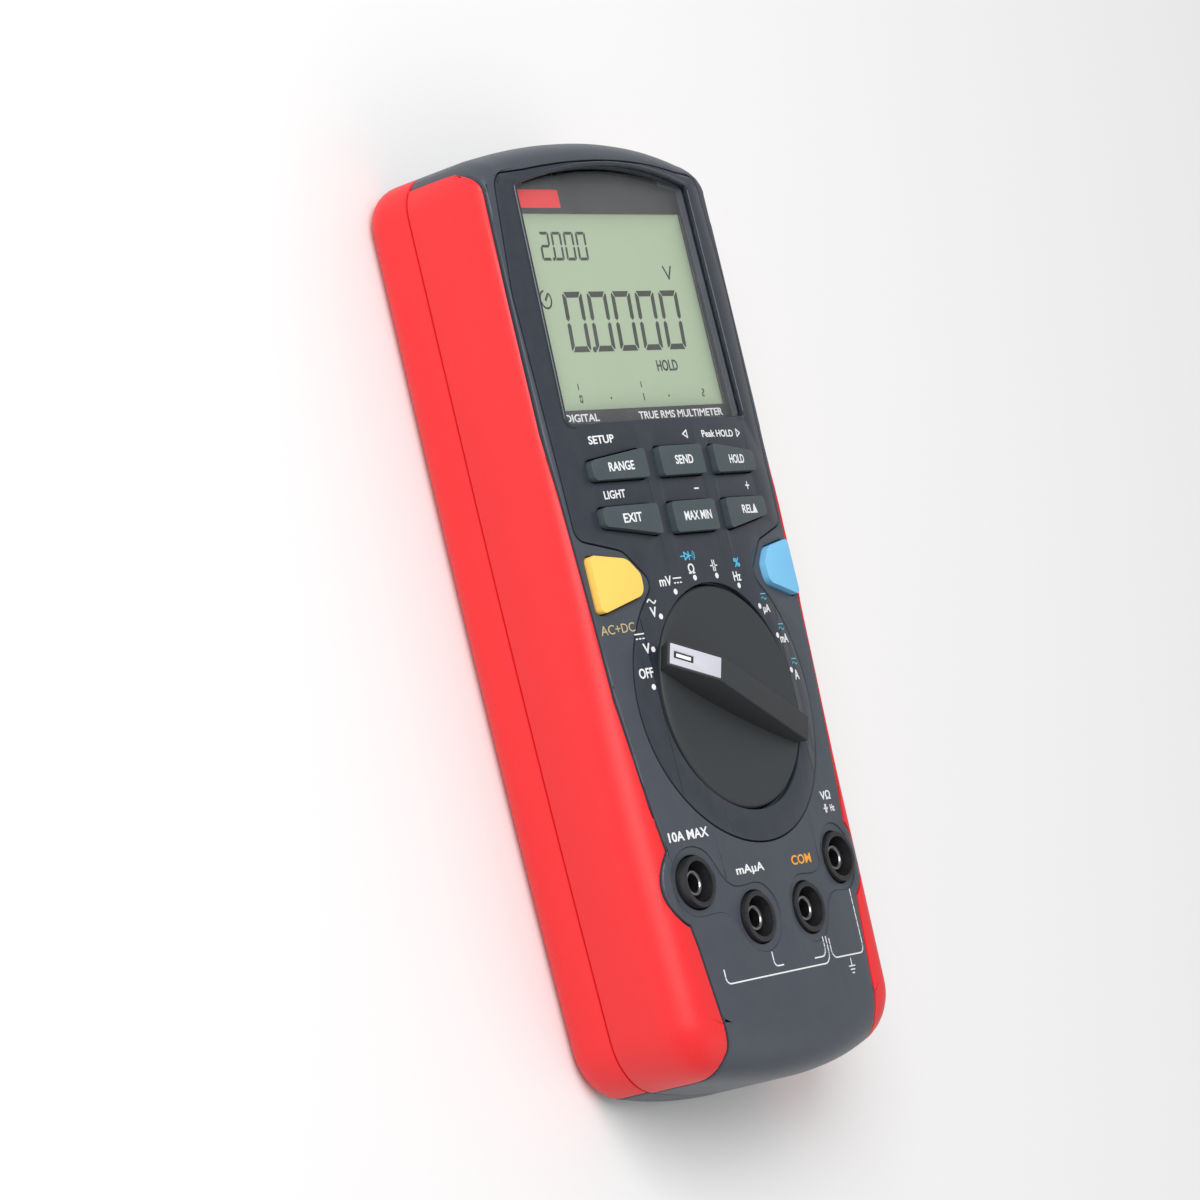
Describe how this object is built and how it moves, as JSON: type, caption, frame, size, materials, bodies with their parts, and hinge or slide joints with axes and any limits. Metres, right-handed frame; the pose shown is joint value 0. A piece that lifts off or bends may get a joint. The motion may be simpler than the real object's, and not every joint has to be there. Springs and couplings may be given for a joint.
{
  "type": "handheld digital multimeter",
  "caption": "Handheld digital multimeter with a display, keys, a rotary selector, test lead jacks, rubber side grips and a folding tilt stand.",
  "frame": {"origin": "on the back face, in the middle of the meter's length and width", "axes": "+X to the right of the face, +Y towards the display end, +Z out of the face; the meter lies on its back"},
  "size_m": [0.085, 0.2048, 0.0424],
  "materials": {
    "red_grip": "soft moulded rubber, fine matt texture",
    "grey_case": "spark-textured moulded plastic",
    "panel_plastic": "smooth satin plastic",
    "key_rubber": "matt silicone rubber",
    "yellow_key_rubber": "matt silicone rubber",
    "blue_key_rubber": "matt silicone rubber",
    "dial_plastic": "satin moulded plastic",
    "pointer_plastic": "satin light plastic inlay",
    "jack_plastic": "black moulded plastic",
    "lens_plastic": "clear glossy window",
    "lcd": "grey-green liquid crystal cell",
    "link_window_plastic": "dark red infrared window",
    "white_plastic": "plain white plastic",
    "soft_grey_rubber": "soft rubber",
    "board_laminate": "green solder mask",
    "brass_contact": "plated brass",
    "steel": "plated steel",
    "battery_can": "plain steel can",
    "fuse_ceramic": "white ceramic tube",
    "shunt_metal": "copper alloy wire"
  },
  "bodies": {
    "body": {"front_case": "grey_case", "centre_panel": "panel_plastic", "left_front_grip": "red_grip", "right_front_grip": "red_grip", "rear_case": "grey_case", "left_rear_grip": "red_grip", "right_rear_grip": "red_grip", "display_lens": "lens_plastic", "lcd_glass": "lcd", "lcd_frame": "white_plastic", "backlight_panel": "white_plastic", "lower_zebra_strip": "soft_grey_rubber", "upper_zebra_strip": "soft_grey_rubber", "keypad_membrane": "soft_grey_rubber", "detent_ball": "steel", "detent_spring": "steel", "jack_sleeve_1": "jack_plastic", "jack_sleeve_2": "jack_plastic", "jack_sleeve_3": "jack_plastic", "jack_sleeve_4": "jack_plastic", "jack_contact_1": "brass_contact", "jack_contact_2": "brass_contact", "jack_contact_3": "brass_contact", "jack_contact_4": "brass_contact", "main_board": "board_laminate", "display_board": "board_laminate", "board_header": "jack_plastic", "measuring_chip": "jack_plastic", "buzzer": "jack_plastic", "current_shunt": "shunt_metal", "high_current_fuse": "fuse_ceramic", "low_current_fuse": "fuse_ceramic", "high_current_upper_clip": "brass_contact", "high_current_lower_clip": "brass_contact", "low_current_upper_clip": "brass_contact", "low_current_lower_clip": "brass_contact", "battery_9v": "battery_can", "battery_terminal_block": "jack_plastic", "battery_door": "grey_case", "battery_door_screw": "steel", "case_screw_1": "steel", "case_screw_2": "steel", "case_screw_3": "steel", "case_screw_4": "steel", "link_window": "link_window_plastic"},
    "selector": {"dial_knob": "dial_plastic", "pointer_insert": "pointer_plastic", "selector_rotor": "white_plastic", "selector_wiper": "brass_contact"},
    "range_key": {"range_key": "key_rubber"},
    "send_key": {"send_key": "key_rubber"},
    "hold_key": {"hold_key": "key_rubber"},
    "exit_key": {"exit_key": "key_rubber"},
    "max_min_key": {"max_min_key": "key_rubber"},
    "relative_key": {"relative_key": "key_rubber"},
    "yellow_key": {"yellow_key": "yellow_key_rubber"},
    "blue_key": {"blue_key": "blue_key_rubber"},
    "stand": {"tilt_stand": "grey_case"}
  },
  "joints": [
    {"name": "selector_turn", "type": "hinge", "parent": "body", "child": "selector", "pos_m": [0, -0.0216, 0.0353], "axis": [0, 0, 1], "range_deg": [-147, 15]},
    {"name": "range_key_press", "type": "slide", "parent": "body", "child": "range_key", "axis": [0, 0, -1], "range_m": [0, 0.001], "stiffness_N_per_m": 300},
    {"name": "send_key_press", "type": "slide", "parent": "body", "child": "send_key", "axis": [0, 0, -1], "range_m": [0, 0.001], "stiffness_N_per_m": 300},
    {"name": "hold_key_press", "type": "slide", "parent": "body", "child": "hold_key", "axis": [0, 0, -1], "range_m": [0, 0.001], "stiffness_N_per_m": 300},
    {"name": "exit_key_press", "type": "slide", "parent": "body", "child": "exit_key", "axis": [0, 0, -1], "range_m": [0, 0.001], "stiffness_N_per_m": 300},
    {"name": "max_min_key_press", "type": "slide", "parent": "body", "child": "max_min_key", "axis": [0, 0, -1], "range_m": [0, 0.001], "stiffness_N_per_m": 300},
    {"name": "relative_key_press", "type": "slide", "parent": "body", "child": "relative_key", "axis": [0, 0, -1], "range_m": [0, 0.001], "stiffness_N_per_m": 300},
    {"name": "yellow_key_press", "type": "slide", "parent": "body", "child": "yellow_key", "axis": [0, 0, -1], "range_m": [0, 0.001], "stiffness_N_per_m": 300},
    {"name": "blue_key_press", "type": "slide", "parent": "body", "child": "blue_key", "axis": [0, 0, -1], "range_m": [0, 0.001], "stiffness_N_per_m": 300},
    {"name": "stand_swing", "type": "hinge", "parent": "body", "child": "stand", "pos_m": [0, 0.016, 0.002], "axis": [1, 0, 0], "range_deg": [0, 70]}
  ]
}
